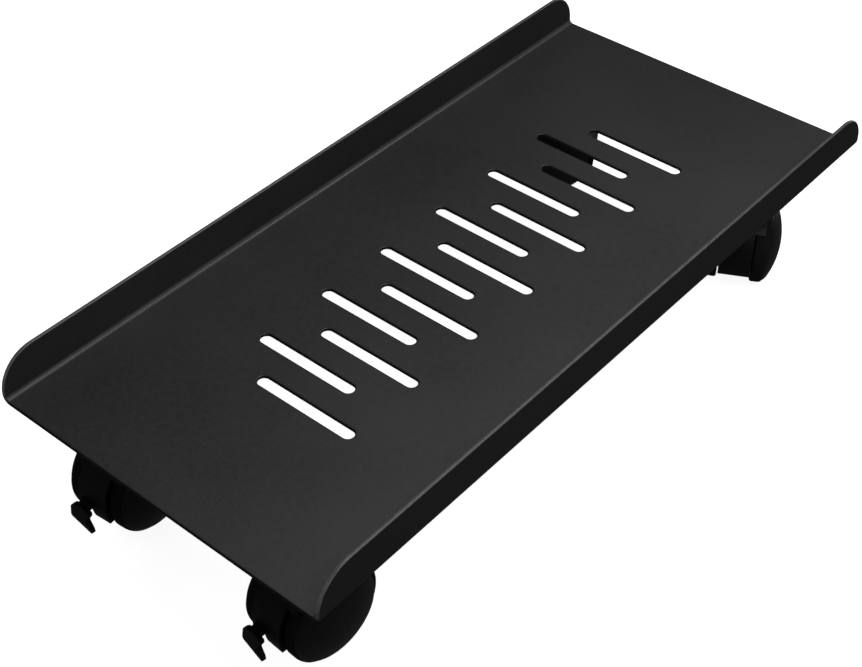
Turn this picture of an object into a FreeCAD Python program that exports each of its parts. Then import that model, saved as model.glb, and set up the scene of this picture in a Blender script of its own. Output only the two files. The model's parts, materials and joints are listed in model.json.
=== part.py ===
"""Wheeled holder for a computer tower: a folded sheet-steel tray on four twin-wheel casters.

Millimetres. Origin on the floor under the middle of the tray, +X across its width,
+Y along its length, +Z up. The two casters at the -Y end carry a brake lever.
"""
import FreeCAD, Part
import math
import os

V = FreeCAD.Vector
X_AXIS = V(1, 0, 0)
Z_AXIS = V(0, 0, 1)
TOLERANCE = 0.01

# Tray: one sheet folded up along its two long sides
TRAY_LENGTH = 436.0
TRAY_WIDTH = 200.0
SHEET = 2.0
DECK_TOP = 73.5
FLANGE_RISE = 22.7
BEND_INSIDE = 2.5
FLANGE_CORNER = 20.0
DECK_BOTTOM = DECK_TOP - SHEET

# Ventilation slots: one row along the tray, every second slot set to the other side
SLOT_COUNT = 13
SLOT_PITCH = 21.9
SLOT_LENGTH = 59.6
SLOT_WIDTH = 6.4
SLOT_STAGGER = 9.9
EDGE_ROUND = 0.8

# Caster places (swivel axis on the floor) and the way each one is turned, degrees about +Z
STEM_X = 60.0
STEM_Y = 171.8
CASTERS = {
    "front_left": (-STEM_X, -STEM_Y, 4.5),
    "front_right": (STEM_X, -STEM_Y, -4.0),
    "rear_left": (-STEM_X, STEM_Y, -60.0),
    "rear_right": (STEM_X, STEM_Y, 28.0),
}
BRAKED = ("front_left", "front_right")

# Fasteners under the deck
THREAD_RADIUS = 4.0
NUT_ACROSS_FLATS = 13.0
NUT_HEIGHT = 6.5
WASHER_RADIUS = 7.0
WASHER_THICKNESS = 2.0
WASHER_GAP = 1.6

# Stem: hex collar with the thread above it and a plain pin below it
COLLAR_HEIGHT = 4.0
STEM_RADIUS = 4.0
THREAD_STOP = 0.5
STEM_CHAMFER = 0.8
STEM_BOTTOM = 33.5
RUNNING_CLEARANCE = 0.05
FREE_GAP = 0.3
COLLAR_BOTTOM = DECK_BOTTOM - NUT_HEIGHT - WASHER_THICKNESS - COLLAR_HEIGHT

# Retaining ring in the stem's groove
RING_Z = 41.0
RING_WIDTH = 1.2
RING_INSIDE = 3.38
RING_OUTSIDE = 4.9
RING_GAP = 2.4
GROOVE_RADIUS = 3.3
GROOVE_WIDTH = 1.8

# Wheels: a flat tread band, a round shoulder and a domed cover over the outer face
WHEEL_RADIUS = 25.0
TRAIL = 11.5
WHEEL_INNER_X = 9.3
SHOULDER_X = 13.6
SHOULDER_RADIUS = 4.5
TREAD_OUTER_X = 16.0
TREAD_THICKNESS = 3.0
TREAD_ROUND = 0.8
RIM_WALL = 1.5
WHEEL_DISC_INNER_X = 13.0
WHEEL_DISC_OUTER_X = 14.8
HUB_RADIUS = 6.5
HUB_OUTER_X = 18.2
COVER_STEP = 0.4
COVER_APEX_X = 23.9
COVER_CAP_RADIUS = 45.0
COVER_WALL = 1.6
COVER_SPIGOT_LENGTH = 1.0
COVER_SPIGOT_INSIDE = 18.9
WHEEL_RIB_COUNT = 6
WHEEL_RIB_THICKNESS = 1.4
WHEEL_RIB_HEIGHT = 1.6
WHEEL_RIB_OVERLAP = 0.4
WHEEL_RIB_TIP_RADIUS = 17.9

# Axle
AXLE_RADIUS = 3.0
AXLE_HALF_LENGTH = 17.4
AXLE_CHAMFER = 0.6

# Housing: a hollow web between the wheels with a hood over them
HOOD_RADIUS = 26.9
HOOD_WALL = 1.5
HOOD_HALF_WIDTH = 14.6
HOOD_BACK_ANGLE = -37.0
HOOD_FRONT_ANGLE = 140.0
HOOD_EDGE_ROUND = 0.6
TONGUE_ANGLE = 200.0
WEB_HALF_WIDTH = 8.7
WEB_WALL = 2.3
WEB_FOOT_FRONT = (-29.2, 16.0)
WEB_FOOT_BACK = (-5.6, 13.0)
POCKET_DROP = 5.7
BOSS_RADIUS = 9.5
BOSS_BOTTOM = 41.0
BOSS_TOP = COLLAR_BOTTOM - FREE_GAP
SOCKET_WALL_RADIUS = 7.5
SOCKET_BOTTOM = 31.0
SOCKET_END_GAP = 0.5
AXLE_BOSS_RADIUS = 6.0

# Brake lever, in the caster's own frame: places are (Y, Z) measured from the axle
LEVER_PIVOT = (-16.8, -1.5)
LEVER_PIN_RADIUS = 1.5
LEVER_BARREL_RADIUS = 3.2
LEVER_BARREL_HALF_LENGTH = 5.9
LEVER_ARM_X = (-6.0, -1.4)
LEVER_ARM_SIDE = ((-16.8, -4.7), (-32.0, -4.2), (-31.2, 0.8), (-22.0, 1.2), (-16.8, 1.7))
LEVER_PAD_TOP = (-32.4, 1.0)
LEVER_PAD_SLANT = 7.0
LEVER_PAD_FRONT = (
    (-6.7, 0.4, 1.6), (-9.1, -2.0, 1.6), (-9.3, -8.2, 2.2), (4.7, -13.1, 0.5), (4.0, -10.5, 0.8),
    (1.1, -6.3, 1.5), (3.0, -2.9, 0.6), (2.8, -1.2, 0.6), (-1.0, 0.4, 1.0),
)
LEVER_PAD_THICKNESS = 2.6
LEVER_PAD_ROUND = 0.7
LEVER_BAR = (-16.2, 4.5)
LEVER_BAR_RADIUS = 1.5
LEVER_BAR_HALF_LENGTH = 12.4
LEVER_TRAVEL = 18.0
LEVER_SLOT_GAP = 0.6
LEVER_SLOT_END = -20.0
LEVER_PIN_INSET = 0.1


def box(x0, x1, y0, y1, z0, z1):
    return Part.makeBox(x1 - x0, y1 - y0, z1 - z0, V(x0, y0, z0))


def cylinder_x(radius, x0, x1, y, z):
    return Part.makeCylinder(radius, x1 - x0, V(x0, y, z), X_AXIS)


def cylinder_z(radius, z0, z1, x=0.0, y=0.0):
    return Part.makeCylinder(radius, z1 - z0, V(x, y, z0), Z_AXIS)


def hexagon(across_flats, z0, z1, x, y):
    radius = across_flats / math.sqrt(3.0)
    corners = []
    for k in range(7):
        angle = math.radians(60.0 * k)
        corners.append(V(x + radius * math.cos(angle), y + radius * math.sin(angle), z0))
    return Part.Face(Part.makePolygon(corners)).extrude(V(0, 0, z1 - z0))


def hex_chamfer(body, across_flats, z0, z1, x, y):
    """Take the corners off a hexagon's two ends, as a turned blank has them."""
    half = across_flats / 2.0
    corner = across_flats / math.sqrt(3.0)
    drop = (corner - half) * math.tan(math.radians(30.0))
    outline = [
        V(x, y, z0), V(x + half, y, z0), V(x + corner, y, z0 + drop),
        V(x + corner, y, z1 - drop), V(x + half, y, z1), V(x, y, z1), V(x, y, z0),
    ]
    turned = Part.Face(Part.makePolygon(outline)).revolve(V(x, y, z0), Z_AXIS, 360)
    return body.common(turned)


def edge_radius(edge):
    """Radius of a round edge, or zero for a straight one."""
    return edge.Curve.Radius if isinstance(edge.Curve, Part.Circle) else 0.0


def largest(shape):
    """The single solid that a boolean result holds."""
    solids = sorted(shape.Solids, key=lambda solid: solid.Volume)
    return solids[-1]


def plate_yz(points, x0, x1):
    """Extrude a closed outline of (Y, Z) points from x0 to x1."""
    ring = [V(x0, y, z) for y, z in points]
    ring.append(ring[0])
    return Part.Face(Part.makePolygon(ring)).extrude(V(x1 - x0, 0, 0))


def on_circle(radius, degrees):
    """A (Y, Z) point on a circle about the wheel axle, in the caster's own frame."""
    angle = math.radians(degrees)
    return (-TRAIL + radius * math.cos(angle), WHEEL_RADIUS + radius * math.sin(angle))


def from_axle(place):
    return (place[0] - TRAIL, place[1] + WHEEL_RADIUS)


# --- tray -------------------------------------------------------------------

def bend_corner(centre_x, centre_z, radius, start, end):
    """A quarter arc in the XZ plane, as an edge."""
    middle = 0.5 * (start + end)
    points = []
    for degrees in (start, middle, end):
        angle = math.radians(degrees)
        points.append(V(centre_x + radius * math.cos(angle), 0, centre_z + radius * math.sin(angle)))
    return Part.Arc(points[0], points[1], points[2]).toShape()


def tray_section():
    """Closed U section across the tray, at Y = 0."""
    half = TRAY_WIDTH / 2.0
    top = DECK_TOP + FLANGE_RISE
    outer = BEND_INSIDE + SHEET
    bend_x = half - outer
    bend_z = DECK_BOTTOM + outer
    corner = {
        "left_out": bend_corner(-bend_x, bend_z, outer, 180, 270),
        "right_out": bend_corner(bend_x, bend_z, outer, 270, 360),
        "right_in": bend_corner(bend_x, bend_z, BEND_INSIDE, 360, 270),
        "left_in": bend_corner(-bend_x, bend_z, BEND_INSIDE, 270, 180),
    }
    lines = [
        (V(-half, 0, top), V(-half, 0, bend_z)),
        (V(-bend_x, 0, DECK_BOTTOM), V(bend_x, 0, DECK_BOTTOM)),
        (V(half, 0, bend_z), V(half, 0, top)),
        (V(half, 0, top), V(half - SHEET, 0, top)),
        (V(half - SHEET, 0, top), V(half - SHEET, 0, bend_z)),
        (V(bend_x, 0, DECK_TOP), V(-bend_x, 0, DECK_TOP)),
        (V(-half + SHEET, 0, bend_z), V(-half + SHEET, 0, top)),
        (V(-half + SHEET, 0, top), V(-half, 0, top)),
    ]
    edges = [Part.LineSegment(a, b).toShape() for a, b in lines]
    edges.extend(corner.values())
    return Part.Face(Part.Wire(Part.__sortEdges__(edges)))


def flange_side_window():
    """Side outline of the tray with its four rounded flange corners, cut right through X."""
    half_length = TRAY_LENGTH / 2.0
    half_width = TRAY_WIDTH / 2.0
    top = DECK_TOP + FLANGE_RISE
    block = box(-half_width - 1, half_width + 1, -half_length, half_length, DECK_BOTTOM - 1, top)
    upright = []
    for edge in block.Edges:
        start = edge.Vertexes[0].Point
        end = edge.Vertexes[-1].Point
        along_x = abs(start.x - end.x) > half_width
        if along_x and start.z > DECK_TOP:
            upright.append(edge)
    return block.makeFillet(FLANGE_CORNER, upright)


def slot(x, y):
    straight = SLOT_LENGTH - SLOT_WIDTH
    radius = SLOT_WIDTH / 2.0
    low = DECK_BOTTOM - 1
    high = DECK_TOP + 1
    middle = box(x - straight / 2, x + straight / 2, y - radius, y + radius, low, high)
    left = cylinder_z(radius, low, high, x - straight / 2, y)
    right = cylinder_z(radius, low, high, x + straight / 2, y)
    return middle.fuse([left, right]).removeSplitter()


def cut_edges(sheet):
    """Edges of the sheet where it was cut, along which its two faces meet at a right angle."""
    found = []
    for edge in sheet.Edges:
        faces = sheet.ancestorsOfType(edge, Part.Face)
        if len(faces) != 2:
            continue
        middle = edge.valueAt(0.5 * (edge.FirstParameter + edge.LastParameter))
        normals = []
        for face in faces:
            u, v = face.Surface.parameter(middle)
            normals.append(face.normalAt(u, v))
        if abs(normals[0].dot(normals[1])) < 0.5:
            found.append(edge)
    return found


def rounded_sheet(sheet):
    return sheet.makeFillet(EDGE_ROUND, cut_edges(sheet))


def make_tray():
    sheet = tray_section().extrude(V(0, TRAY_LENGTH, 0))
    sheet.translate(V(0, -TRAY_LENGTH / 2.0, 0))
    sheet = sheet.common(flange_side_window())
    slots = []
    for k in range(SLOT_COUNT):
        y = SLOT_PITCH * (k - (SLOT_COUNT - 1) / 2.0)
        x = -SLOT_STAGGER if k % 2 else SLOT_STAGGER
        slots.append(slot(x, y))
    return rounded_sheet(largest(sheet.cut(slots)))


# --- fasteners and stem -----------------------------------------------------

def weld_nut(x, y):
    low = DECK_BOTTOM - NUT_HEIGHT
    nut = hexagon(NUT_ACROSS_FLATS, low, DECK_BOTTOM, x, y)
    nut = hex_chamfer(nut, NUT_ACROSS_FLATS, low, DECK_BOTTOM, x, y)
    return nut.cut(cylinder_z(THREAD_RADIUS, low - 1, DECK_BOTTOM + 1, x, y))


def lock_washer(x, y):
    low = COLLAR_BOTTOM + COLLAR_HEIGHT
    high = low + WASHER_THICKNESS
    ring = cylinder_z(WASHER_RADIUS, low, high, x, y)
    ring = ring.cut(cylinder_z(THREAD_RADIUS, low - 1, high + 1, x, y))
    gap = box(0, WASHER_RADIUS + 1, -WASHER_GAP / 2, WASHER_GAP / 2, low - 1, high + 1)
    gap.rotate(V(0, 0, (low + high) / 2), X_AXIS, 30)
    gap.translate(V(x, y, 0))
    return largest(ring.cut(gap))


def make_stem():
    """Stem on the swivel axis, in the caster's own frame."""
    collar_top = COLLAR_BOTTOM + COLLAR_HEIGHT
    collar = hexagon(NUT_ACROSS_FLATS, COLLAR_BOTTOM, collar_top, 0, 0)
    collar = hex_chamfer(collar, NUT_ACROSS_FLATS, COLLAR_BOTTOM, collar_top, 0, 0)
    groove_low = RING_Z - GROOVE_WIDTH / 2
    groove_high = RING_Z + GROOVE_WIDTH / 2
    thread_top = DECK_BOTTOM - THREAD_STOP
    outline = [
        (0, STEM_BOTTOM), (STEM_RADIUS - STEM_CHAMFER, STEM_BOTTOM),
        (STEM_RADIUS, STEM_BOTTOM + STEM_CHAMFER), (STEM_RADIUS, groove_low),
        (GROOVE_RADIUS, groove_low), (GROOVE_RADIUS, groove_high), (STEM_RADIUS, groove_high),
        (STEM_RADIUS, collar_top), (THREAD_RADIUS, collar_top),
        (THREAD_RADIUS, thread_top - STEM_CHAMFER), (THREAD_RADIUS - STEM_CHAMFER, thread_top),
        (0, thread_top),
    ]
    points = []
    for r, z in outline:
        point = V(r, 0, z)
        if not points or points[-1].distanceToPoint(point) > TOLERANCE:
            points.append(point)
    points.append(points[0])
    pin = Part.Face(Part.makePolygon(points)).revolve(V(0, 0, 0), Z_AXIS, 360)
    return largest(pin.fuse(collar))


def make_retaining_ring():
    low = RING_Z - RING_WIDTH / 2
    high = RING_Z + RING_WIDTH / 2
    ring = cylinder_z(RING_OUTSIDE, low, high).cut(cylinder_z(RING_INSIDE, low - 1, high + 1))
    gap = box(-RING_GAP / 2, RING_GAP / 2, 0, RING_OUTSIDE + 1, low - 1, high + 1)
    return largest(ring.cut(gap))


# --- wheels: made for the +X side, about the axle ---------------------------

def wheel_point(x, radius):
    return V(x, -TRAIL, WHEEL_RADIUS + radius)


def arc_between(centre, radius, start, end):
    """Arc about an (X, radius) centre from one angle to another in degrees, 0 along +X."""
    points = []
    for degrees in (start, 0.5 * (start + end), end):
        angle = math.radians(degrees)
        x = centre[0] + radius * math.cos(angle)
        points.append(wheel_point(x, centre[1] + radius * math.sin(angle)))
    return Part.Arc(points[0], points[1], points[2]).toShape()


def shoulder_end():
    """Radius and lean, in degrees, of the tread's round shoulder where the cover takes over."""
    lean = math.asin((TREAD_OUTER_X - SHOULDER_X) / SHOULDER_RADIUS)
    radius = WHEEL_RADIUS - SHOULDER_RADIUS + SHOULDER_RADIUS * math.cos(lean)
    return radius, math.degrees(lean)


def dome_edges(rim, lean):
    """Two tangent arcs from the cover's rim to its apex on the axle line."""
    cap_x = COVER_APEX_X - COVER_CAP_RADIUS
    normal = (math.sin(math.radians(lean)), math.cos(math.radians(lean)))
    reach = (TREAD_OUTER_X - cap_x, rim)
    along = normal[0] * reach[0] + normal[1] * reach[1]
    square = reach[0] ** 2 + reach[1] ** 2
    turn = (COVER_CAP_RADIUS ** 2 - square) / (2.0 * (COVER_CAP_RADIUS - along))
    centre = (TREAD_OUTER_X - turn * normal[0], rim - turn * normal[1])
    join = math.degrees(math.atan2(centre[1], centre[0] - cap_x))
    shoulder = arc_between(centre, turn, 90.0 - lean, join)
    cap = arc_between((cap_x, 0.0), COVER_CAP_RADIUS, join, 0.0)
    return [shoulder, cap]


def turned(edges):
    """Revolve a closed run of edges about the wheel axle."""
    wire = Part.Wire(Part.__sortEdges__(edges))
    return Part.Face(wire).revolve(V(0, -TRAIL, WHEEL_RADIUS), X_AXIS, 360)


def straight_edges(outline):
    """Straight edges along an open run of (X, radius) points."""
    points = [wheel_point(x, r) for x, r in outline]
    return [Part.LineSegment(a, b).toShape() for a, b in zip(points, points[1:])]


def make_wheel_core():
    bore = AXLE_RADIUS + RUNNING_CLEARANCE
    rim_out = WHEEL_RADIUS - TREAD_THICKNESS
    rim_in = rim_out - RIM_WALL
    body = turned(straight_edges([
        (WHEEL_INNER_X, bore), (HUB_OUTER_X, bore), (HUB_OUTER_X, HUB_RADIUS),
        (WHEEL_DISC_OUTER_X, HUB_RADIUS), (WHEEL_DISC_OUTER_X, rim_in), (TREAD_OUTER_X, rim_in),
        (TREAD_OUTER_X, rim_out), (WHEEL_INNER_X, rim_out), (WHEEL_INNER_X, rim_in),
        (WHEEL_DISC_INNER_X, rim_in), (WHEEL_DISC_INNER_X, HUB_RADIUS),
        (WHEEL_INNER_X, HUB_RADIUS), (WHEEL_INNER_X, bore),
    ]))
    ribs = []
    half = WHEEL_RIB_THICKNESS / 2
    for k in range(WHEEL_RIB_COUNT):
        rib = box(WHEEL_DISC_OUTER_X - WHEEL_RIB_OVERLAP, WHEEL_DISC_OUTER_X + WHEEL_RIB_HEIGHT,
                  -TRAIL - half, -TRAIL + half,
                  WHEEL_RADIUS + HUB_RADIUS - WHEEL_RIB_OVERLAP, WHEEL_RADIUS + WHEEL_RIB_TIP_RADIUS)
        rib.rotate(V(0, -TRAIL, WHEEL_RADIUS), X_AXIS, 360.0 * k / WHEEL_RIB_COUNT)
        ribs.append(rib)
    return largest(body.fuse(ribs).removeSplitter())


def make_tread():
    inside = WHEEL_RADIUS - TREAD_THICKNESS
    outer_radius, lean = shoulder_end()
    centre = (SHOULDER_X, WHEEL_RADIUS - SHOULDER_RADIUS)
    edges = [arc_between(centre, SHOULDER_RADIUS, 90.0, 90.0 - lean)]
    edges += straight_edges([
        (TREAD_OUTER_X, outer_radius), (TREAD_OUTER_X, inside), (WHEEL_INNER_X, inside),
        (WHEEL_INNER_X, WHEEL_RADIUS - TREAD_ROUND), (WHEEL_INNER_X + TREAD_ROUND, WHEEL_RADIUS),
        (SHOULDER_X, WHEEL_RADIUS),
    ])
    return turned(edges)


def make_wheel_cover():
    """Domed cover with a spigot that snaps inside the wheel's rim."""
    tread_edge, lean = shoulder_end()
    rim = tread_edge - COVER_STEP
    spigot_x = TREAD_OUTER_X - COVER_SPIGOT_LENGTH
    spigot_outside = WHEEL_RADIUS - TREAD_THICKNESS - RIM_WALL
    outside = turned(dome_edges(rim, lean) + straight_edges([
        (COVER_APEX_X, 0), (spigot_x, 0), (spigot_x, spigot_outside),
        (TREAD_OUTER_X, spigot_outside), (TREAD_OUTER_X, rim),
    ]))
    cap_x = COVER_APEX_X - COVER_CAP_RADIUS
    ball = Part.makeSphere(COVER_CAP_RADIUS - COVER_WALL, wheel_point(cap_x, 0))
    mouth = cylinder_x(COVER_SPIGOT_INSIDE, spigot_x - 1.0, COVER_APEX_X, -TRAIL, WHEEL_RADIUS)
    return largest(outside.cut(ball.common(mouth)))


def make_axle():
    axle = cylinder_x(AXLE_RADIUS, -AXLE_HALF_LENGTH, AXLE_HALF_LENGTH, -TRAIL, WHEEL_RADIUS)
    ends = [edge for edge in axle.Edges if edge.BoundBox.XLength < TOLERANCE]
    return axle.makeChamfer(AXLE_CHAMFER, ends)


# --- housing ----------------------------------------------------------------

def hood_side(radius):
    """Side outline of the housing: the hood's arc closed by a low line under the axle."""
    back = on_circle(radius, HOOD_BACK_ANGLE)
    top = on_circle(radius, 0.5 * (HOOD_BACK_ANGLE + TONGUE_ANGLE))
    tip = on_circle(radius, TONGUE_ANGLE)
    points = [V(0, back[0], back[1]), V(0, top[0], top[1]), V(0, tip[0], tip[1])]
    arc = Part.Arc(points[0], points[1], points[2]).toShape()
    inset = HOOD_RADIUS - radius
    foot_front = V(0, WEB_FOOT_FRONT[0] + inset, WEB_FOOT_FRONT[1])
    foot_back = V(0, WEB_FOOT_BACK[0] - inset, WEB_FOOT_BACK[1])
    lines = [(points[2], foot_front), (foot_front, foot_back), (foot_back, points[0])]
    edges = [arc] + [Part.LineSegment(a, b).toShape() for a, b in lines]
    return Part.Face(Part.Wire(edges))


def web_block(radius, half_width):
    block = hood_side(radius).extrude(V(2 * half_width, 0, 0))
    block.translate(V(-half_width, 0, 0))
    return block


def hood_band():
    """The curved roof over both wheels."""
    inner = HOOD_RADIUS - HOOD_WALL
    ring = cylinder_x(HOOD_RADIUS, -HOOD_HALF_WIDTH, HOOD_HALF_WIDTH, -TRAIL, WHEEL_RADIUS)
    ring = ring.cut(cylinder_x(inner, -HOOD_HALF_WIDTH - 1, HOOD_HALF_WIDTH + 1, -TRAIL, WHEEL_RADIUS))
    reach = 2.0 * HOOD_RADIUS
    span = HOOD_FRONT_ANGLE - HOOD_BACK_ANGLE
    centre = (-TRAIL, WHEEL_RADIUS)
    outline = [centre] + [on_circle(reach, HOOD_BACK_ANGLE + span * k / 2) for k in range(3)]
    wedge = plate_yz(outline, -HOOD_HALF_WIDTH - 2, HOOD_HALF_WIDTH + 2)
    band = ring.common(wedge)
    rims = [edge for edge in band.Edges if edge_radius(edge) > HOOD_RADIUS - TOLERANCE]
    return band.makeFillet(HOOD_EDGE_ROUND, rims)


def lever_turned(place, degrees):
    """Where a (Y, Z) place on the lever goes when the lever turns about its pivot."""
    angle = math.radians(degrees)
    dy = place[0] - LEVER_PIVOT[0]
    dz = place[1] - LEVER_PIVOT[1]
    y = LEVER_PIVOT[0] + dy * math.cos(angle) - dz * math.sin(angle)
    z = LEVER_PIVOT[1] + dy * math.sin(angle) + dz * math.cos(angle)
    return (y, z)


def lever_openings():
    """Room in the housing for the brake lever's arm, its cross bar and its pivot pin."""
    cuts = []
    left = LEVER_ARM_X[0] - LEVER_SLOT_GAP
    right = LEVER_ARM_X[1] + LEVER_SLOT_GAP
    front = -TRAIL - HOOD_RADIUS - 2
    high = WHEEL_RADIUS + LEVER_ARM_SIDE[-2][1] + LEVER_SLOT_GAP
    cuts.append(box(left, right, front, -TRAIL + LEVER_SLOT_END, 0, high))
    radius = LEVER_BAR_RADIUS + LEVER_SLOT_GAP
    for degrees in (0.0, LEVER_TRAVEL / 2, LEVER_TRAVEL):
        y, z = from_axle(lever_turned(LEVER_BAR, degrees))
        cuts.append(cylinder_x(radius, -WEB_HALF_WIDTH - 1, WEB_HALF_WIDTH + 1, y, z))
    y, z = from_axle(LEVER_PIVOT)
    cuts.append(cylinder_x(LEVER_PIN_RADIUS, -WEB_HALF_WIDTH - 1, WEB_HALF_WIDTH + 1, y, z))
    return cuts


def make_housing(braked):
    web = web_block(HOOD_RADIUS, WEB_HALF_WIDTH)
    pocket = web_block(HOOD_RADIUS - HOOD_WALL, WEB_HALF_WIDTH - WEB_WALL)
    open_bottom = pocket.copy()
    open_bottom.translate(V(0, 0, -POCKET_DROP))
    shell = web.cut([pocket, open_bottom])
    boss = cylinder_z(BOSS_RADIUS, BOSS_BOTTOM, BOSS_TOP)
    socket = cylinder_z(SOCKET_WALL_RADIUS, SOCKET_BOTTOM, BOSS_TOP)
    axle_boss = cylinder_x(AXLE_BOSS_RADIUS, -WEB_HALF_WIDTH, WEB_HALF_WIDTH, -TRAIL, WHEEL_RADIUS)
    body = shell.fuse([hood_band(), boss, socket, axle_boss])
    cuts = []
    for side in (-1, 1):
        inner = side * WEB_HALF_WIDTH
        outer = side * (HOOD_HALF_WIDTH + 1)
        low, high = sorted((inner, outer))
        cuts.append(cylinder_x(HOOD_RADIUS - HOOD_WALL, low, high, -TRAIL, WHEEL_RADIUS))
    bore = STEM_RADIUS + RUNNING_CLEARANCE
    cuts.append(cylinder_z(bore, STEM_BOTTOM - SOCKET_END_GAP, BOSS_TOP + 1))
    cuts.append(cylinder_z(RING_OUTSIDE, RING_Z - GROOVE_WIDTH / 2, RING_Z + GROOVE_WIDTH / 2))
    cuts.append(cylinder_x(AXLE_RADIUS, -WEB_HALF_WIDTH - 1, WEB_HALF_WIDTH + 1, -TRAIL, WHEEL_RADIUS))
    if braked:
        cuts.extend(lever_openings())
    return largest(body.cut(cuts).removeSplitter())


# --- brake lever ------------------------------------------------------------

def lever_pad():
    """The foot pad: a slanted blade whose lower edge runs out to one side."""
    outline = [V(x, 0, z) for x, z, corner in LEVER_PAD_FRONT]
    outline.append(outline[0])
    plate = Part.Face(Part.makePolygon(outline)).extrude(V(0, LEVER_PAD_THICKNESS, 0))
    for x, z, corner in LEVER_PAD_FRONT:
        middle = V(x, LEVER_PAD_THICKNESS / 2, z)
        near = [edge for edge in plate.Edges if edge.CenterOfMass.distanceToPoint(middle) < TOLERANCE]
        plate = plate.makeFillet(corner, near)
    front = [edge for edge in plate.Edges if edge.BoundBox.YMax < TOLERANCE]
    plate = plate.makeFillet(LEVER_PAD_ROUND, front)
    plate.rotate(V(0, 0, 0), X_AXIS, -LEVER_PAD_SLANT)
    y, z = from_axle(LEVER_PAD_TOP)
    plate.translate(V(0, y, z))
    return plate


def make_lever():
    pivot_y, pivot_z = from_axle(LEVER_PIVOT)
    half = LEVER_BARREL_HALF_LENGTH
    barrel = cylinder_x(LEVER_BARREL_RADIUS, -half, half, pivot_y, pivot_z)
    arm = plate_yz([from_axle(place) for place in LEVER_ARM_SIDE], LEVER_ARM_X[0], LEVER_ARM_X[1])
    bar_y, bar_z = from_axle(LEVER_BAR)
    bar = cylinder_x(LEVER_BAR_RADIUS, -LEVER_BAR_HALF_LENGTH, LEVER_BAR_HALF_LENGTH, bar_y, bar_z)
    horn = box(-half, half, bar_y - LEVER_BAR_RADIUS, bar_y + LEVER_BAR_RADIUS, pivot_z, bar_z)
    bore = cylinder_x(LEVER_PIN_RADIUS + RUNNING_CLEARANCE, -half - 1, half + 1, pivot_y, pivot_z)
    body = barrel.fuse([arm, bar, horn, lever_pad()]).removeSplitter()
    return largest(body.cut(bore))


def make_lever_pin():
    y, z = from_axle(LEVER_PIVOT)
    half = WEB_HALF_WIDTH - LEVER_PIN_INSET
    return cylinder_x(LEVER_PIN_RADIUS, -half, half, y, z)


# --- assembly ---------------------------------------------------------------

def mirrored_x(shape):
    return shape.mirror(V(0, 0, 0), X_AXIS)


def wheel_pieces():
    """Both wheels of a caster, each with its core, tread and cover."""
    pieces = {}
    for label, maker in (("wheel_core", make_wheel_core), ("tread", make_tread), ("cover", make_wheel_cover)):
        right = maker()
        pieces["right_" + label] = right
        pieces["left_" + label] = mirrored_x(right)
    return pieces


def caster_pieces(braked):
    pieces = {
        "stem": make_stem(),
        "retaining_ring": make_retaining_ring(),
        "housing": make_housing(braked),
        "axle": make_axle(),
    }
    pieces.update(wheel_pieces())
    if braked:
        pieces["brake_lever"] = make_lever()
        pieces["lever_pin"] = make_lever_pin()
    return pieces


def placed(shape, x, y, turn):
    moved = shape.copy()
    moved.rotate(V(0, 0, 0), Z_AXIS, turn)
    moved.translate(V(x, y, 0))
    return moved


def make_parts():
    parts = {"tray": make_tray()}
    places = [(x, y) for x, y, turn in CASTERS.values()]
    parts["weld_nuts"] = Part.makeCompound([weld_nut(x, y) for x, y in places])
    parts["lock_washers"] = Part.makeCompound([lock_washer(x, y) for x, y in places])
    kinds = {True: caster_pieces(True), False: caster_pieces(False)}
    for caster, (x, y, turn) in CASTERS.items():
        for piece, shape in kinds[caster in BRAKED].items():
            parts[caster + "_" + piece] = placed(shape, x, y, turn)
    return parts


def main():
    os.makedirs("parts", exist_ok=True)
    for node, shape in make_parts().items():
        if not shape.isValid():
            print("not valid:", node)
        shape.exportStep(os.path.join("parts", node + ".step"))


main()
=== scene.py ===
"""Looks of the wheeled holder for a computer tower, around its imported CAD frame. Metres, +Z up."""
import json
import math

import bmesh
import bpy
from mathutils import Matrix, Vector


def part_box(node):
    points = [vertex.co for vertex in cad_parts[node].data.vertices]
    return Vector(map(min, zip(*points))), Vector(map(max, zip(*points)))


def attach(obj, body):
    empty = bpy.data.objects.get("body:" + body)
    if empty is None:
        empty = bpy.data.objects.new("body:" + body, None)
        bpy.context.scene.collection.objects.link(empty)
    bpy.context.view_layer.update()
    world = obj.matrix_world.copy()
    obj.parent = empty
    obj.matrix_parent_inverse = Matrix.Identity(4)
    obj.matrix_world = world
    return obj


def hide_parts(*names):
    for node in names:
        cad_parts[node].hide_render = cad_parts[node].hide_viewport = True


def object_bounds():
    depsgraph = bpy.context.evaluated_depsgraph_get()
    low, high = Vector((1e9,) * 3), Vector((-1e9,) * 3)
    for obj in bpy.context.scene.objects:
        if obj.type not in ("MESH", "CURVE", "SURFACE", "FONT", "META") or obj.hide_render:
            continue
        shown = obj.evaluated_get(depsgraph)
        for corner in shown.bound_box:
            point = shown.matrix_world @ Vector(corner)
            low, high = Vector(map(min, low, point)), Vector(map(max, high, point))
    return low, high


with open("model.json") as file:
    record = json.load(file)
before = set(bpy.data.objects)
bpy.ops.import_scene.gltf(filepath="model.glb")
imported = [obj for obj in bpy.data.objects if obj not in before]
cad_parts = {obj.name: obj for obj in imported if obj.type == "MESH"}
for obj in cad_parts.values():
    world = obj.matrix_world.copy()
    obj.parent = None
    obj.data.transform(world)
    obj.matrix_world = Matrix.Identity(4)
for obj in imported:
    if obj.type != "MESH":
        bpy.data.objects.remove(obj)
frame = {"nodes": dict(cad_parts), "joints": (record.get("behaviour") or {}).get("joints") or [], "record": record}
cad_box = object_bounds()

MM = 0.001
CASTERS = ("front_left", "front_right", "rear_left", "rear_right")
SIDES = ("left", "right")

# Turned pieces: steps round the axle, and how their corners and normals are softened
TURNED_STEPS = 160
CORNER_TURN = math.radians(15)
CORNER_SHARE = 0.45
CORNER_STEPS = 4
SHARP_TURN = math.radians(50)
SAME_POINT = 0.0005 * MM

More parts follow.
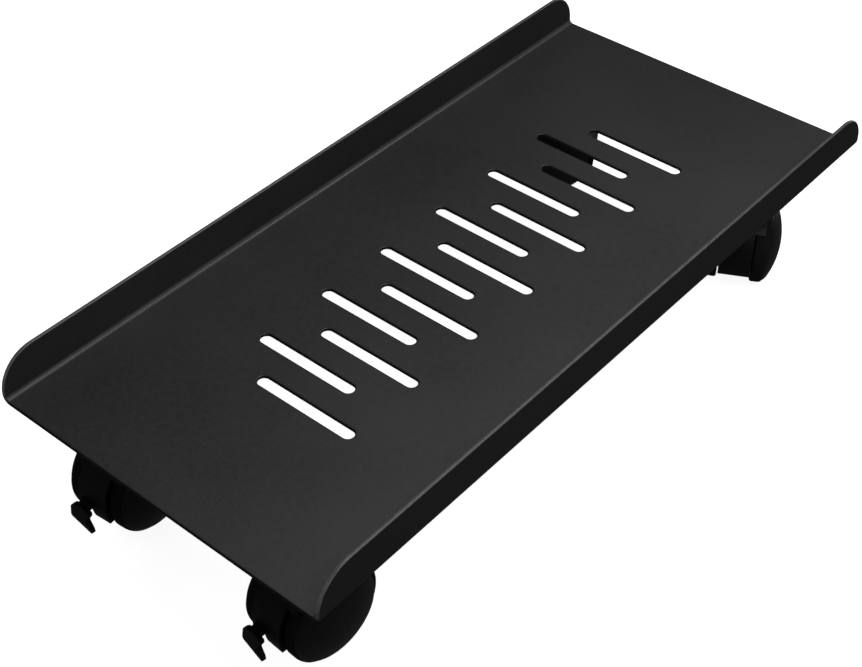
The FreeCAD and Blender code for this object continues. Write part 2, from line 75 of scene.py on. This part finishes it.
# Wheel covers, millimetres: radii are away from the axle
DOME_RADIUS = 45.0
DOME_WALL = 1.6
DOME_STEPS = 24
COVER_STEP = 0.4
SPIGOT_OUTSIDE = 20.5
SPIGOT_INSIDE = 18.9
DIMPLE_FLAT = 0.7
DIMPLE_LIP = 1.1
DIMPLE_DEPTH = 0.12
COVER_GROOVE_RADIUS = 19.4
COVER_GROOVE_WIDTH = 0.4
COVER_GROOVE_DEPTH = 0.14
COVER_ROUND = 0.18

# Treads, millimetres: the seam and the groove lie this far out from the tread's inner side
TREAD_THICKNESS = 3.0
TREAD_SINK = 0.06
TREAD_CHAMFER = 0.8
TREAD_ROUND = 0.12
SHOULDER_WIDTH = 2.4
SHOULDER_RADIUS = 4.5
SEAM_PLACE = 2.1
SEAM_HALF = 0.16
TREAD_GROOVE_PLACE = 3.6
TREAD_GROOVE_HALF = 0.2
TREAD_GROOVE_DEPTH = 0.16

# Deck: its top, half its width, and how far in from the flanges it is surely flat
DECK_TOP = frame["record"]["mounts"][0]["pos_m"][2]
DECK_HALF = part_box("tray")[1].x
FOLD_CLEAR = 8 * MM

# Colours, linear
COAT_DARK = (0.0155, 0.0155, 0.0170, 1)
COAT_LIGHT = (0.0215, 0.0214, 0.0232, 1)
COAT_FLECK = (0.0270, 0.0268, 0.0280, 1)
COAT_SPECK = (0.050, 0.050, 0.052, 1)
# painted shade on the cut faces below the deck's top and on the deck beside them
COAT_PAINTED_SHADE = (0.0035, 0.0035, 0.0040, 1)
# painted highlight on the flanges' rims, partly rubbed wear
COAT_RUBBED_HIGHLIGHT = (0.32, 0.32, 0.33, 1)
HOUSING_SHADE = 0.0055
# lighter than the housings' nylon: painted sheen on the wheels
WHEEL_SHEEN_TONE = 0.0090
NYLON_SCUFFED = (0.030, 0.030, 0.031, 1)
NYLON_EDGE = (0.040, 0.040, 0.042, 1)
RUBBER_CLEAN = (0.0085, 0.0085, 0.0090, 1)
RUBBER_DUSTY = (0.021, 0.0205, 0.020, 1)
RUBBER_EDGE = (0.030, 0.030, 0.030, 1)
ZINC_BLUE = (0.50, 0.53, 0.58, 1)
ZINC_STRAW = (0.60, 0.58, 0.50, 1)
ZINC_EDGE = (0.74, 0.75, 0.77, 1)
STEEL_CLEAN = (0.58, 0.58, 0.59, 1)
STEEL_STAINED = (0.46, 0.45, 0.43, 1)
WHITE = (1.0, 1.0, 1.0, 1.0)

# Roughness
HOUSING_ROUGH = 0.46
WHEEL_ROUGH = 0.38
COAT_ROUGH = (0.40, 0.46)
COAT_ROUGH_GRAIN = 0.05
# smoother where the rims' painted highlight and rubbed wear lie
COAT_RIM_SMOOTHER = 0.12
RUBBER_ROUGH = (0.62, 0.85)
ZINC_ROUGH = (0.28, 0.42)
STEEL_ROUGH = (0.22, 0.38)

# How large the noises' features are, metres
COAT_CLOUD = 0.09
COAT_WAVE = 0.0045
COAT_MOTTLE = 0.0035
COAT_GRAIN = 0.0006
NYLON_CLOUD = 0.012
NYLON_SCUFF = 0.0022
NYLON_GRAIN = 0.00045
RUBBER_DUST = 0.004
RUBBER_PORES = 0.0006
ZINC_TINT = 0.006
ZINC_SPANGLE = 0.0011
ZINC_GRAIN = 0.0004
STEEL_STAIN = 0.005
STEEL_LINES = 0.0005

# Powder coat, parts of the object's normal at which a mask is 0 and then full
RIM_SIDEWAYS = (0.985, 0.60)
RIM_UPWARD = (0.9, 0.2)
CUT_UPWARD = (0.995, 0.93)

# Rays of the Bevel node, for worn edges, the painted shade beside the deck's cut edges, and softened corners
EDGE_SAMPLES = 6
CORNER_SAMPLES = 4

# The middle of a noise, where most of its values lie
MIDDLE = (0.3, 0.7)

# Camera: where it looks and from where
CAMERA_TARGET = Vector((0.0216, -0.0557, DECK_TOP))
CAMERA_AZIMUTH = math.radians(40.19)
CAMERA_ELEVATION = math.radians(41.94)
CAMERA_ROLL = math.radians(0.078)
CAMERA_DISTANCE = 0.7831
CAMERA_LENS = 67.79

# Studio: the world's strength differs for light, mirrored rays and the backdrop
FLOOR_HALF = 12.0
FLOOR_COLOUR = (0.60, 0.60, 0.60, 1.0)
FLOOR_GLOW = 0.93
RIM_AWAY = 1.3
FILL_AWAY = 1.2
AMBIENT = 0.05
MIRRORED = 0.055
BACKDROP = 0.95


# --- materials ---------------------------------------------------------------

class Paint:
    """One procedural material: a Principled shader and short calls for the nodes that feed it."""

    def __init__(self, name):
        self.material = bpy.data.materials.new(name)
        self.material.use_nodes = True
        self.tree = self.material.node_tree
        self.tree.nodes.clear()
        self.shader = self.add("ShaderNodeBsdfPrincipled")
        output = self.add("ShaderNodeOutputMaterial")
        self.link(self.shader.outputs["BSDF"], output.inputs["Surface"])
        self.place = self.add("ShaderNodeTexCoord").outputs["Object"]

    def add(self, kind):
        return self.tree.nodes.new(kind)

    def link(self, source, target):
        self.tree.links.new(source, target)

    def fixed(self, **values):
        """Numbers that are the same all over the surface, set on the shader's own sockets."""
        for name, value in values.items():
            socket = name.replace("_", " ").title().replace("Ior", "IOR")
            self.shader.inputs[socket].default_value = value

    def stretched(self, scale):
        mapping = self.add("ShaderNodeMapping")
        mapping.inputs["Scale"].default_value = scale
        self.link(self.place, mapping.inputs["Vector"])
        return mapping.outputs["Vector"]

    def noise(self, grain, detail=2.0, rough=0.5, place=None):
        """Noise whose features are about grain metres across."""
        node = self.add("ShaderNodeTexNoise")
        node.inputs["Scale"].default_value = 1.0 / grain
        node.inputs["Detail"].default_value = detail
        node.inputs["Roughness"].default_value = rough
        self.link(place or self.place, node.inputs["Vector"])
        return node.outputs["Fac"]

    def cells(self, grain):
        node = self.add("ShaderNodeTexVoronoi")
        node.inputs["Scale"].default_value = 1.0 / grain
        self.link(self.place, node.inputs["Vector"])
        return node.outputs["Distance"]

    def spread(self, value, low, high, to_low, to_high):
        """Map a value from one range to another, held inside it."""
        node = self.add("ShaderNodeMapRange")
        node.inputs["From Min"].default_value = low
        node.inputs["From Max"].default_value = high
        node.inputs["To Min"].default_value = to_low
        node.inputs["To Max"].default_value = to_high
        self.link(value, node.inputs["Value"])
        return node.outputs["Result"]

    def math(self, operation, a, b):
        node = self.add("ShaderNodeMath")
        node.operation = operation
        for socket, value in zip(node.inputs, (a, b)):
            if isinstance(value, (int, float)):
                socket.default_value = value
            else:
                self.link(value, socket)
        return node.outputs["Value"]

    def mix(self, factor, a, b):
        """Blend two colours, each an RGBA tuple or another node's colour."""
        node = self.add("ShaderNodeMix")
        node.data_type = "RGBA"
        self.link(factor, node.inputs["Factor"])
        for name, value in (("A", a), ("B", b)):
            socket = [s for s in node.inputs if s.name == name and s.type == "RGBA"][0]
            if isinstance(value, tuple):
                socket.default_value = value
            else:
                self.link(value, socket)
        return [s for s in node.outputs if s.type == "RGBA"][0]

    def edges(self, radius, clear=0.995, full=0.80):
        """0 on flat surface, rising to 1 within the radius of an edge."""
        bevel = self.add("ShaderNodeBevel")
        bevel.samples = EDGE_SAMPLES
        bevel.inputs["Radius"].default_value = radius
        surface = self.add("ShaderNodeNewGeometry")
        dot = self.add("ShaderNodeVectorMath")
        dot.operation = "DOT_PRODUCT"
        self.link(bevel.outputs["Normal"], dot.inputs[0])
        self.link(surface.outputs["Normal"], dot.inputs[1])
        return self.spread(dot.outputs["Value"], clear, full, 0.0, 1.0)

    def axis(self, vector, name):
        """One part of a vector; of a place in the resting part, Z is its height above the floor."""
        split = self.add("ShaderNodeSeparateXYZ")
        self.link(vector, split.inputs["Vector"])
        return split.outputs[name]

    def colour(self, source):
        self.link(source, self.shader.inputs["Base Color"])

    def roughness(self, source):
        self.link(source, self.shader.inputs["Roughness"])

    def bumps(self, *layers, corners=0.0):
        """Stack bump layers, each a height and its depth in metres, on softened sharp corners."""
        normal = None
        if corners:
            bevel = self.add("ShaderNodeBevel")
            bevel.samples = CORNER_SAMPLES
            bevel.inputs["Radius"].default_value = corners
            normal = bevel.outputs["Normal"]
        for height, depth in layers:
            node = self.add("ShaderNodeBump")
            node.inputs["Strength"].default_value = 1.0
            node.inputs["Distance"].default_value = depth
            self.link(height, node.inputs["Height"])
            if normal:
                self.link(normal, node.inputs["Normal"])
            normal = node.outputs["Normal"]
        self.link(normal, self.shader.inputs["Normal"])


def powder_coat():
    """Fine satin charcoal powder coat: a painted highlight on the flanges' rims, partly rubbed wear, and painted
    shade at the deck's cut edges.

    Both are painted by the object's own height and normal, to follow the photograph.
    """
    paint = Paint("powder_coat")
    paint.fixed(metallic=0.0, specular_ior_level=0.32)
    cloud = paint.noise(COAT_CLOUD, 3.0)
    mottle = paint.noise(COAT_MOTTLE, 3.0, 0.6)
    grain = paint.noise(COAT_GRAIN, 2.0, 0.6)
    base = paint.mix(paint.spread(cloud, *MIDDLE, 0, 1), COAT_DARK, COAT_LIGHT)
    fleck = paint.mix(paint.spread(mottle, 0.35, 0.7, 0, 0.5), base, COAT_FLECK)
    speck = paint.mix(paint.spread(grain, 0.62, 0.75, 0, 0.45), fleck, COAT_SPECK)

    height = paint.axis(paint.place, "Z")
    facing = paint.add("ShaderNodeTexCoord").outputs["Normal"]

    # Painted highlight, partly rubbed wear: light rims above the deck, where the surface faces neither side, most
    # where it stands upright
    on_flange = paint.spread(height, DECK_TOP + 0.4 * MM, DECK_TOP + 3 * MM, 0.0, 1.0)
    sideways = paint.math("ABSOLUTE", paint.axis(facing, "X"), 0.0)
    on_rim = paint.spread(sideways, *RIM_SIDEWAYS, 0.0, 1.0)
    upright = paint.spread(paint.axis(facing, "Z"), *RIM_UPWARD, 0.14, 1.0)
    rubbed_highlight = paint.math("MULTIPLY", on_rim, paint.spread(mottle, 0.25, 0.65, 0.6, 1.0))
    rubbed_highlight = paint.math("MULTIPLY", paint.math("MULTIPLY", rubbed_highlight, upright), on_flange)

    # Painted shade: dark on the cut faces below the deck's top, and beside them on the flat deck
    below_top = paint.spread(height, DECK_TOP - 0.06 * MM, DECK_TOP - 0.01 * MM, 1.0, 0.0)
    level = paint.math("ABSOLUTE", paint.axis(facing, "Z"), 0.0)
    cut_edge = paint.spread(level, *CUT_UPWARD, 0.0, 0.95)
    across = paint.math("ABSOLUTE", paint.axis(paint.place, "X"), 0.0)
    flat_to = DECK_HALF - FOLD_CLEAR
    off_folds = paint.spread(across, flat_to, flat_to + 1 * MM, 0.55, 0.0)
    beside_edge = paint.math("MULTIPLY", paint.edges(2 * MM, 0.9995, 0.97), off_folds)
    on_deck = paint.spread(height, DECK_TOP, DECK_TOP + 0.1 * MM, 1.0, 0.0)
    beside_edge = paint.math("MULTIPLY", beside_edge, on_deck)
    painted_shade = paint.math("MAXIMUM", paint.math("MULTIPLY", cut_edge, below_top), beside_edge)
    # the painted shade darkens the coat at the cut edges
    coat = paint.mix(painted_shade, speck, COAT_PAINTED_SHADE)
    # the rims' painted highlight, partly rubbed wear, over the coat
    paint.colour(paint.mix(rubbed_highlight, coat, COAT_RUBBED_HIGHLIGHT))

    clouded = paint.spread(cloud, *MIDDLE, *COAT_ROUGH)
    grainy = paint.spread(grain, *MIDDLE, -COAT_ROUGH_GRAIN, COAT_ROUGH_GRAIN)
    rough = paint.math("ADD", clouded, grainy)
    smoother = paint.math("MULTIPLY", rubbed_highlight, COAT_RIM_SMOOTHER)
    paint.roughness(paint.math("SUBTRACT", rough, smoother))
    paint.bumps((paint.noise(COAT_WAVE, 2.0), 0.05 * MM), (grain, 0.035 * MM))
    return paint.material


def moulded_nylon(name, shade, rough):
    """Black injection-moulded nylon: spark-eroded grain, faint flow clouds, scuffed edges."""
    paint = Paint(name)
    paint.fixed(metallic=0.0, specular_ior_level=0.42)
    cloud = paint.noise(NYLON_CLOUD, 3.0)
    grain = paint.noise(NYLON_GRAIN, 2.0, 0.6)
    scuff = paint.noise(NYLON_SCUFF, 4.0, 0.7, paint.stretched((1.0, 0.25, 1.0)))
    dark = (shade, shade, shade * 1.25, 1)
    light = (shade * 1.7, shade * 1.7, shade * 2.05, 1)
    base = paint.mix(paint.spread(cloud, *MIDDLE, 0, 1), dark, light)
    marks = paint.spread(scuff, 0.62, 0.78, 0.0, 0.35)
    base = paint.mix(marks, base, NYLON_SCUFFED)
    edge = paint.math("MULTIPLY", paint.edges(0.6 * MM), paint.spread(scuff, 0.35, 0.65, 0.2, 0.8))
    paint.colour(paint.mix(edge, base, NYLON_EDGE))
    clouded = paint.spread(cloud, *MIDDLE, rough - 0.04, rough + 0.05)
    paint.roughness(paint.math("ADD", clouded, marks))
    paint.bumps((cloud, 0.05 * MM), (grain, 0.035 * MM), corners=0.3 * MM)
    return paint.material


def tread_rubber():
    """Soft matte tread with fine pores and a little dust."""
    paint = Paint("tread_rubber")
    paint.fixed(metallic=0.0, specular_ior_level=0.3)
    dust = paint.noise(RUBBER_DUST, 5.0, 0.7)
    pores = paint.cells(RUBBER_PORES)
    base = paint.mix(paint.spread(dust, 0.45, 0.75, 0, 1), RUBBER_CLEAN, RUBBER_DUSTY)
    edge = paint.edges(0.7 * MM)
    paint.colour(paint.mix(paint.math("MULTIPLY", edge, 0.5), base, RUBBER_EDGE))
    paint.roughness(paint.spread(dust, *MIDDLE, *RUBBER_ROUGH))
    paint.bumps((dust, 0.08 * MM), (pores, 0.03 * MM), corners=0.3 * MM)
    return paint.material


def zinc_plate():
    """Zinc-plated steel: pale, faintly blue and straw, with a soft spangle."""
    paint = Paint("zinc_plate")
    paint.fixed(metallic=1.0)
    tint = paint.noise(ZINC_TINT, 2.0)
    spangle = paint.cells(ZINC_SPANGLE)
    base = paint.mix(paint.spread(tint, 0.35, 0.65, 0, 1), ZINC_BLUE, ZINC_STRAW)
    edge = paint.edges(0.4 * MM)
    paint.colour(paint.mix(paint.math("MULTIPLY", edge, 0.6), base, ZINC_EDGE))
    paint.roughness(paint.spread(spangle, 0.1, 0.8, *ZINC_ROUGH))
    paint.bumps((spangle, 0.02 * MM), (paint.noise(ZINC_GRAIN, 2.0), 0.01 * MM), corners=0.2 * MM)
    return paint.material


def drawn_steel():
    """Bright drawn steel with fine lines along it."""
    paint = Paint("drawn_steel")
    paint.fixed(metallic=1.0)
    lines = paint.noise(STEEL_LINES, 3.0, 0.6, paint.stretched((0.15, 1.0, 1.0)))
    stain = paint.noise(STEEL_STAIN, 3.0)
    paint.colour(paint.mix(paint.spread(stain, 0.4, 0.7, 0, 1), STEEL_CLEAN, STEEL_STAINED))
    paint.roughness(paint.spread(lines, *MIDDLE, *STEEL_ROUGH))
    paint.bumps((lines, 0.01 * MM), (stain, 0.01 * MM))
    return paint.material


def floor_paper():
    """Plain pale studio floor. It glows a little, so its shadows stay light; clear from below."""
    paint = Paint("floor_paper")
    paint.fixed(roughness=0.95, specular_ior_level=0.0)
    paint.fixed(base_color=FLOOR_COLOUR, emission_color=WHITE, emission_strength=FLOOR_GLOW)
    clear = paint.add("ShaderNodeBsdfTransparent")
    either = paint.add("ShaderNodeMixShader")
    surface = paint.add("ShaderNodeNewGeometry")
    output = [node for node in paint.tree.nodes if node.type == "OUTPUT_MATERIAL"][0]
    paint.link(surface.outputs["Backfacing"], either.inputs["Fac"])
    paint.link(paint.shader.outputs["BSDF"], either.inputs[1])
    paint.link(clear.outputs["BSDF"], either.inputs[2])
    paint.link(either.outputs["Shader"], output.inputs["Surface"])
    return paint.material


FINISHES = {
    "tray_paint": powder_coat(),
    "caster_plastic": moulded_nylon("housing_nylon", HOUSING_SHADE, HOUSING_ROUGH),
    "tread": tread_rubber(),
    "zinc_steel": zinc_plate(),
    "bright_steel": drawn_steel(),
}
# a lighter copy of the housings' nylon: painted sheen on the wheels
WHEEL_NYLON_SHEEN = moulded_nylon("wheel_nylon_sheen", WHEEL_SHEEN_TONE, WHEEL_ROUGH)


def dress(piece, material):
    piece.data.materials.clear()
    piece.data.materials.append(material)


def dress_cad_nodes():
    """Give every CAD node its finish; the wheels get a lighter copy of the housings' nylon, a painted sheen."""
    for entry in frame["record"]["subparts"]:
        name = entry["node"]
        on_wheel = name.endswith("cover") or name.endswith("wheel_core")
        finish = WHEEL_NYLON_SHEEN if on_wheel else FINISHES[entry["material_slot"]]
        dress(frame["nodes"][name], finish)


# --- wheel covers and treads ---------------------------------------------------

def arc(centre, radius, start, end, steps):
    """Points of an arc between two angles in degrees: 0 is along the axle, 90 away from it."""
    angles = [math.radians(start + (end - start) * k / steps) for k in range(steps + 1)]
    return [(centre[0] + radius * math.cos(a), centre[1] + radius * math.sin(a)) for a in angles]


def softened(outline, radius):
    """Round a run of points at its sharper corners."""
    run = [Vector(point) for point in outline]
    result = [run[0]]
    for before, corner, after in zip(run, run[1:], run[2:]):
        into, out = corner - before, after - corner
        if into.angle(out) < CORNER_TURN:
            result.append(corner)
            continue
        reach = min(radius, CORNER_SHARE * into.length, CORNER_SHARE * out.length)
        first, last = corner - into.normalized() * reach, corner + out.normalized() * reach
        for k in range(CORNER_STEPS + 1):
            t = k / CORNER_STEPS
            result.append(first * (1 - t) ** 2 + corner * 2 * t * (1 - t) + last * t ** 2)
    result.append(run[-1])
    return result


def turned(name, outline, joint, outward):
    """Turn an outline in millimetres about a wheel's axle, at the wheel's place."""
    centre = Vector(joint["pos_m"])
    along = Vector(joint["axis"]).normalized() * outward
    up = Vector((0.0, 0.0, 1.0))
    side = up.cross(along)
    shape = bmesh.new()
    rings = []
    for k in range(TURNED_STEPS):
        angle = 2 * math.pi * k / TURNED_STEPS
        away = side * math.cos(angle) + up * math.sin(angle)
        rings.append([shape.verts.new(centre + (along * x + away * r) * MM) for x, r in outline])
    for ring, following in zip(rings, rings[1:] + rings[:1]):
        for k in range(len(outline) - 1):
            shape.faces.new((ring[k], ring[k + 1], following[k + 1], following[k]))
    bmesh.ops.remove_doubles(shape, verts=shape.verts, dist=SAME_POINT)
    bmesh.ops.recalc_face_normals(shape, faces=shape.faces)
    mesh = bpy.data.meshes.new(name)
    shape.to_mesh(mesh)
    shape.free()
    mesh.shade_smooth()
    mesh.set_sharp_from_angle(angle=SHARP_TURN)
    piece = bpy.data.objects.new(name, mesh)
    bpy.context.scene.collection.objects.link(piece)
    return piece


def reach_along(node, joint, outward):
    """The least and most that a node lies out along a wheel's axle, in millimetres."""
    along = Vector(joint["axis"]).normalized() * outward
    centre = Vector(joint["pos_m"])
    spans = [(vertex.co - centre).dot(along) / MM for vertex in frame["nodes"][node].data.vertices]
    return min(spans), max(spans)


def tread_edge(wheel_radius):
    """Where the tread's shoulder meets the cover: its radius, and its lean in degrees."""
    lean = math.asin(SHOULDER_WIDTH / SHOULDER_RADIUS)
    return wheel_radius - SHOULDER_RADIUS * (1 - math.cos(lean)), math.degrees(lean)


def cover_outline(back, apex, face, wheel_radius):
    """From the dome's middle over its rim and spigot to the middle of its inside."""
    edge, lean = tread_edge(wheel_radius)
    rim = edge - COVER_STEP
    cap_x = apex - DOME_RADIUS
    leaning = Vector((math.sin(math.radians(lean)), math.cos(math.radians(lean))))
    reach = Vector((face - cap_x, rim))
    bend = (DOME_RADIUS ** 2 - reach.length_squared) / (2 * (DOME_RADIUS - leaning.dot(reach)))
    centre = (face - bend * leaning.x, rim - bend * leaning.y)
    join = math.degrees(math.atan2(centre[1], centre[0] - cap_x))

    def on_dome(away, drop=0.0):
        return cap_x + math.sqrt(DOME_RADIUS ** 2 - away ** 2) - drop, away

    groove, half = COVER_GROOVE_RADIUS, COVER_GROOVE_WIDTH / 2
    to_groove = groove - half - DIMPLE_LIP
    outline = [on_dome(0.0, DIMPLE_DEPTH), on_dome(DIMPLE_FLAT, DIMPLE_DEPTH), on_dome(DIMPLE_LIP)]
    outline += [on_dome(DIMPLE_LIP + to_groove * k / DOME_STEPS) for k in range(1, DOME_STEPS + 1)]
    outline += [on_dome(groove + shift, COVER_GROOVE_DEPTH) for shift in (-half / 2, half / 2)]
    outline.append(on_dome(groove + half))
    start = math.degrees(math.asin((groove + half) / DOME_RADIUS))
    outline += arc((cap_x, 0.0), DOME_RADIUS, start, join, 8)[1:]
    outline += arc(centre, bend, join, 90 - lean, 12)[1:]
    outline += [(face, SPIGOT_OUTSIDE), (back, SPIGOT_OUTSIDE), (back, SPIGOT_INSIDE)]
    inner = DOME_RADIUS - DOME_WALL
    inside = math.degrees(math.asin(SPIGOT_INSIDE / inner))
    return softened(outline + arc((cap_x, 0.0), inner, inside, 0.0, 10), COVER_ROUND)


def tread_outline(inner, outer, wheel_radius):
    """Once round the tread's section: a flat band with seam and groove, and the round shoulder."""
    surface = wheel_radius - TREAD_SINK
    inside = wheel_radius - TREAD_THICKNESS
    lean = tread_edge(wheel_radius)[1]
    seam = inner + SEAM_PLACE
    groove, half = inner + TREAD_GROOVE_PLACE, TREAD_GROOVE_HALF
    bottom = surface - TREAD_GROOVE_DEPTH
    middle = 0.5 * (inner + outer)
    outline = [(middle, inside), (inner, inside)]
    outline += [(inner, surface - TREAD_CHAMFER), (inner + TREAD_CHAMFER, surface)]
    outline += [(seam - SEAM_HALF, surface), (seam, wheel_radius), (seam + SEAM_HALF, surface)]
    outline += [(groove - half, surface), (groove - half / 2, bottom)]
    outline += [(groove + half / 2, bottom), (groove + half, surface)]
    bend = SHOULDER_RADIUS - TREAD_SINK
    outline += arc((outer - SHOULDER_WIDTH, surface - bend), bend, 90, 90 - lean, 8)
    outline += [(outer, inside), (middle, inside)]
    return softened(outline, TREAD_ROUND)


def stand_for(piece, node, body, material):
    """Let a piece ride on a body, in place of a CAD node."""
    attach(piece, body)
    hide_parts(node)
    dress(piece, material)


def make_wheel_pieces():
    """A turned cover and tread for each wheel, in place of the plain ones."""
    joints = {joint["name"]: joint for joint in frame["joints"]}
    for caster in CASTERS:
        for side in SIDES:
            wheel = f"{caster}_{side}"
            joint = joints[wheel + "_wheel_spin"]
            outward = 1.0 if side == "right" else -1.0
            wheel_radius = (joint["pos_m"][2] - cad_box[0].z) / MM
            inner, face = reach_along(wheel + "_tread", joint, outward)
            back, apex = reach_along(wheel + "_cover", joint, outward)
            outline = cover_outline(back, apex, face, wheel_radius)
            cover = turned(wheel + "_dome", outline, joint, outward)
            stand_for(cover, wheel + "_cover", wheel + "_wheel", WHEEL_NYLON_SHEEN)
            outline = tread_outline(inner, face, wheel_radius)
            tread = turned(wheel + "_tyre", outline, joint, outward)
            stand_for(tread, wheel + "_tread", wheel + "_wheel", FINISHES["tread"])


# --- studio ------------------------------------------------------------------

def make_floor():
    mesh = bpy.data.meshes.new("floor")
    signs = ((-1, -1), (1, -1), (1, 1), (-1, 1))
    corners = [(x * FLOOR_HALF, y * FLOOR_HALF, cad_box[0].z) for x, y in signs]
    mesh.from_pydata(corners, [], [(0, 1, 2, 3)])
    floor = bpy.data.objects.new("floor", mesh)
    bpy.context.scene.collection.objects.link(floor)
    dress(floor, floor_paper())
    floor.visible_glossy = False
    floor.visible_diffuse = False


def aim(thing, place, target):
    thing.location = place
    thing.rotation_mode = "QUATERNION"
    thing.rotation_quaternion = (Vector(target) - Vector(place)).to_track_quat("-Z", "Y")


def soft_light(name, place, target, size, power):
    lamp = bpy.data.lights.new(name, "AREA")
    lamp.shape = "RECTANGLE"
    lamp.size, lamp.size_y = size
    lamp.energy = power
    light = bpy.data.objects.new(name, lamp)
    bpy.context.scene.collection.objects.link(light)
    aim(light, place, target)
    return light


def around(azimuth, elevation, distance):
    """A place about the middle of the deck; azimuth 0 is +Y and 90 is +X, in degrees."""
    a, e = math.radians(azimuth), math.radians(elevation)
    x, y, z = math.sin(a) * math.cos(e), math.cos(a) * math.cos(e), math.sin(e)
    return Vector((x, y, z)) * distance + Vector((0.0, 0.0, DECK_TOP))


def make_lights():
    """Five soft lights. Each row: name, place, target, its two sides, watts, seen in gloss."""
    rows = (
        ("key", (0.19, -0.08, 0.52), (0.10, -0.08, DECK_TOP), (0.25, 0.5), 1.75, True),
        ("rim", around(8.0, 56.0, RIM_AWAY), (0.0, 0.0, DECK_TOP), (0.45, 0.35), 6.0, True),
        ("left_fill", around(-112.0, 18.0, FILL_AWAY), (0.0, -0.2, 0.03), (0.5, 0.3), 3.0, False),
        ("right_fill", around(95.0, 10.0, FILL_AWAY), (0.0, -0.1, 0.03), (0.5, 0.3), 0.12, True),
        ("back_fill", around(10.0, 7.0, FILL_AWAY), (0.0, 0.2, 0.04), (0.6, 0.4), 1.4, True),
    )
    for name, place, target, size, power, in_gloss in rows:
        soft_light(name, place, target, size, power).visible_glossy = in_gloss


def make_world():
    """White all round; its strength is chosen by what kind of ray meets it."""
    world = bpy.data.worlds.new("studio")
    bpy.context.scene.world = world
    world.use_nodes = True
    tree = world.node_tree
    background = tree.nodes["Background"]
    path = tree.nodes.new("ShaderNodeLightPath")
    mirrored = tree.nodes.new("ShaderNodeMapRange")
    mirrored.inputs["To Min"].default_value = AMBIENT
    mirrored.inputs["To Max"].default_value = MIRRORED
    tree.links.new(path.outputs["Is Glossy Ray"], mirrored.inputs["Value"])
    seen = tree.nodes.new("ShaderNodeMapRange")
    seen.inputs["To Max"].default_value = BACKDROP
    tree.links.new(mirrored.outputs["Result"], seen.inputs["To Min"])
    tree.links.new(path.outputs["Is Camera Ray"], seen.inputs["Value"])
    tree.links.new(seen.outputs["Result"], background.inputs["Strength"])
    background.inputs["Color"].default_value = WHITE


def make_camera():
    """The photograph's viewing angle."""
    out = Vector((
        math.sin(CAMERA_AZIMUTH) * math.cos(CAMERA_ELEVATION),
        -math.cos(CAMERA_AZIMUTH) * math.cos(CAMERA_ELEVATION),
        math.sin(CAMERA_ELEVATION),
    ))
    lens = bpy.data.cameras.new("camera")
    lens.lens = CAMERA_LENS
    lens.clip_start = 0.01
    camera = bpy.data.objects.new("camera", lens)
    bpy.context.scene.collection.objects.link(camera)
    aim(camera, CAMERA_TARGET + out * CAMERA_DISTANCE, CAMERA_TARGET)
    roll = Matrix.Rotation(CAMERA_ROLL, 3, "Z").to_quaternion()
    camera.rotation_quaternion = camera.rotation_quaternion @ roll
    bpy.context.scene.camera = camera


# --- put together --------------------------------------------------------------

dress_cad_nodes()
make_wheel_pieces()
make_floor()
make_lights()
make_world()
make_camera()
bpy.context.scene.view_settings.view_transform = "Standard"
